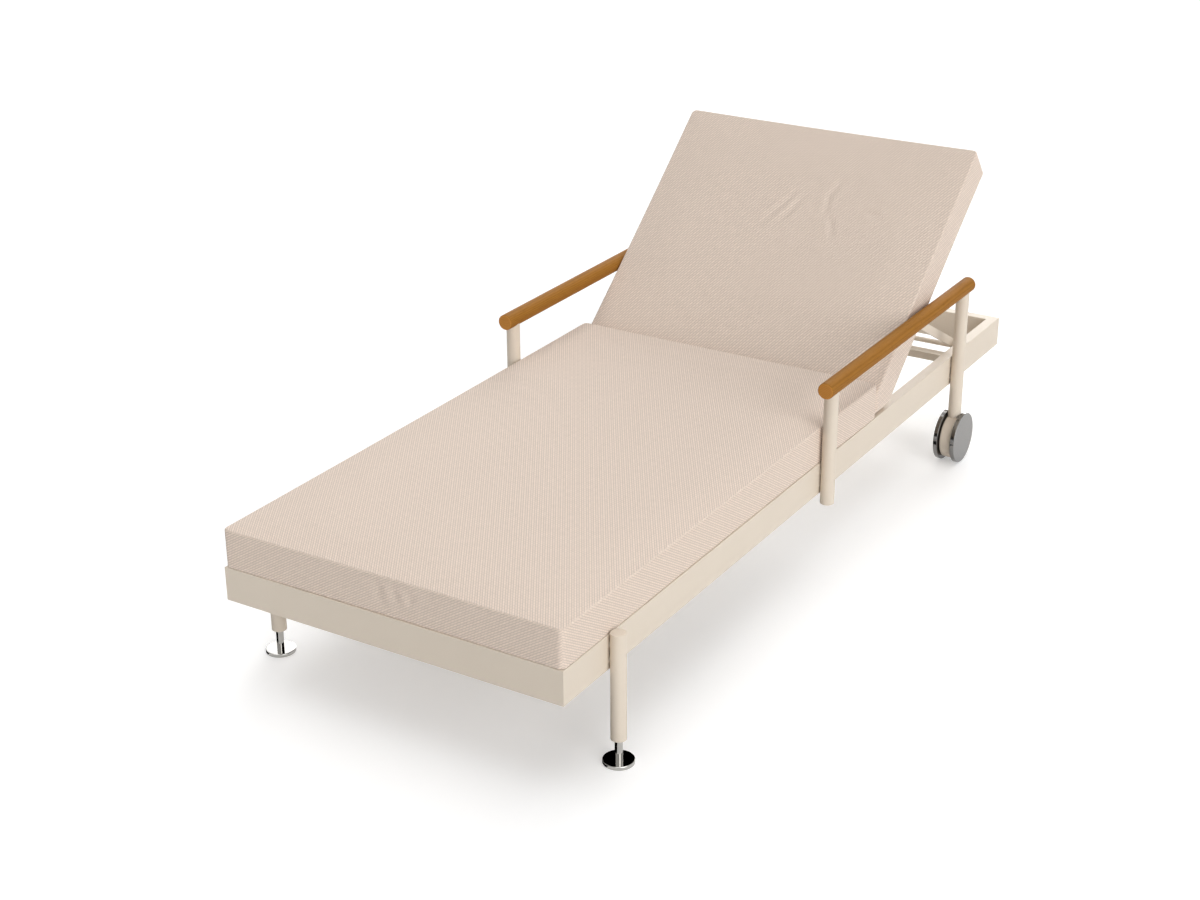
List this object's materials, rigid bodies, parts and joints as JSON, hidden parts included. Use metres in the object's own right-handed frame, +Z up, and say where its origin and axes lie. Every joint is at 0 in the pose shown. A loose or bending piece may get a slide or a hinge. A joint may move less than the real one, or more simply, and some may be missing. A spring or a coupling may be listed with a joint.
{
  "type": "sun lounger",
  "caption": "Low sun lounger with a box-tube frame, thick cushions, a reclining backrest on a stay, round timber armrests, disc wheels at the head and levelling feet at the foot.",
  "frame": {"origin": "on the ground, under the middle of the rectangular frame", "axes": "+X to the right of a person lying on it with the feet towards -Y, seen from above; +Y from the foot end to the head end; +Z up"},
  "size_m": [0.842, 2, 0.732],
  "materials": {
    "powder_coat": "cream powder coat, fine matt texture",
    "cushion_fabric": "beige outdoor fabric in a fine basket weave",
    "teak": "oiled round timber",
    "chrome": "polished",
    "wheel_metal": "turned and polished",
    "steel": "plain fasteners",
    "nylon": "moulded nylon"
  },
  "bodies": {
    "frame": {"side_rail_left": "powder_coat", "side_rail_right": "powder_coat", "foot_rail": "powder_coat", "head_rail": "powder_coat", "mid_cross_rail": "powder_coat", "rear_cross_rail": "powder_coat", "seat_slat_1": "powder_coat", "seat_slat_2": "powder_coat", "seat_slat_3": "powder_coat", "seat_slat_4": "powder_coat", "seat_slat_5": "powder_coat", "seat_slat_6": "powder_coat", "seat_slat_7": "powder_coat", "front_leg_left": "powder_coat", "front_leg_right": "powder_coat", "mid_post_left": "powder_coat", "mid_post_right": "powder_coat", "rear_post_left": "powder_coat", "rear_post_right": "powder_coat", "post_caps": "powder_coat", "leg_plugs": "nylon", "armrest_left": "teak", "armrest_right": "teak", "armrest_studs": "steel", "post_bolts": "steel", "post_spacers": "nylon", "rack_left": "powder_coat", "rack_right": "powder_coat", "hinge_pins": "steel", "hinge_spacers": "nylon", "wheel_hub_left": "powder_coat", "wheel_hub_right": "powder_coat", "wheel_washers": "nylon", "seat_cushion": "cushion_fabric"},
    "backrest": {"back_bar_left": "powder_coat", "back_bar_right": "powder_coat", "back_top_bar": "powder_coat", "back_bottom_bar": "powder_coat", "back_slat_1": "powder_coat", "back_slat_2": "powder_coat", "back_slat_3": "powder_coat", "back_slat_4": "powder_coat", "back_slat_5": "powder_coat", "backrest_cushion": "cushion_fabric", "stay_pins": "steel"},
    "stay": {"stay_leg_left": "powder_coat", "stay_leg_right": "powder_coat", "stay_rod": "powder_coat", "stay_washers": "nylon"},
    "wheel_left": {"wheel_outer_left": "wheel_metal", "wheel_inner_left": "wheel_metal", "wheel_axle_left": "steel"},
    "foot_left": {"foot_disc_left": "chrome", "foot_stem_left": "chrome"},
    "wheel_right": {"wheel_outer_right": "wheel_metal", "wheel_inner_right": "wheel_metal", "wheel_axle_right": "steel"},
    "foot_right": {"foot_disc_right": "chrome", "foot_stem_right": "chrome"}
  },
  "joints": [
    {"name": "backrest_recline", "type": "hinge", "parent": "frame", "child": "backrest", "pos_m": [0, 0.3425, 0.248], "axis": [1, 0, 0], "range_deg": [-40, 0]},
    {"name": "stay_fold", "type": "hinge", "parent": "backrest", "child": "stay", "pos_m": [0, 0.52626, 0.40219], "axis": [1, 0, 0], "range_deg": [-1, 64]},
    {"name": "wheel_spin_left", "type": "hinge", "parent": "frame", "child": "wheel_left", "pos_m": [-0.391, 0.7, 0.06], "axis": [1, 0, 0], "continuous": true},
    {"name": "wheel_spin_right", "type": "hinge", "parent": "frame", "child": "wheel_right", "pos_m": [0.391, 0.7, 0.06], "axis": [1, 0, 0], "continuous": true},
    {"name": "foot_level_left", "type": "slide", "parent": "frame", "child": "foot_left", "axis": [0, 0, -1], "range_m": [-0.03, 0.015]},
    {"name": "foot_level_right", "type": "slide", "parent": "frame", "child": "foot_right", "axis": [0, 0, -1], "range_m": [-0.03, 0.015]}
  ],
  "couplings": [
    {"joint": "stay_fold", "follows": "backrest_recline", "ratio": -1.5896}
  ]
}
